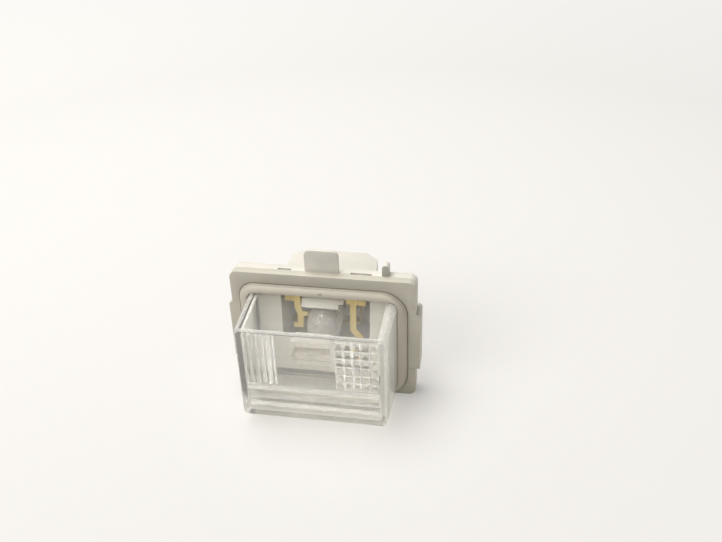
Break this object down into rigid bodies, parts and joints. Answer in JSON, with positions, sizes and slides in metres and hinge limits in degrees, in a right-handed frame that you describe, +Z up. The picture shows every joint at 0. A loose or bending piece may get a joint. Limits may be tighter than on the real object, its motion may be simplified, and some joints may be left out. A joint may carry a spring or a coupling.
{
  "type": "number plate lamp",
  "caption": "Rectangular number plate lamp with a clear box lens and prisms, a clip-on front frame with seal, and a rear housing with wedge base bulb, contact strips and side plug socket.",
  "frame": {"origin": "centre of the front frame's flat face, in the plane that seats against the trim", "axes": "+X across the lamp to the right as seen from the lens side, +Y into the vehicle, +Z up with the fixing lug at the top; the lens stands out towards -Y"},
  "size_m": [0.0574, 0.0422, 0.0475],
  "materials": {
    "frame_plastic": "fine moulded grain, satin",
    "housing_plastic": "as moulded, satin",
    "seal_elastomer": "soft satin",
    "gasket_foam": "matt",
    "clear_lens": "polished, clear",
    "bulb_glass": "clear glass",
    "contact_brass": "stamped, bright",
    "lead_wire": "drawn wire",
    "filament_wire": "bare metal"
  },
  "bodies": {
    "root": {"bezel": "frame_plastic", "seal_collar": "seal_elastomer", "lens": "clear_lens", "lens_gasket": "gasket_foam", "rear_housing": "housing_plastic", "contact_left": "contact_brass", "contact_right": "contact_brass", "bulb_glass": "bulb_glass", "lead_wire_left": "lead_wire", "lead_wire_right": "lead_wire", "filament": "filament_wire"}
  },
  "joints": []
}
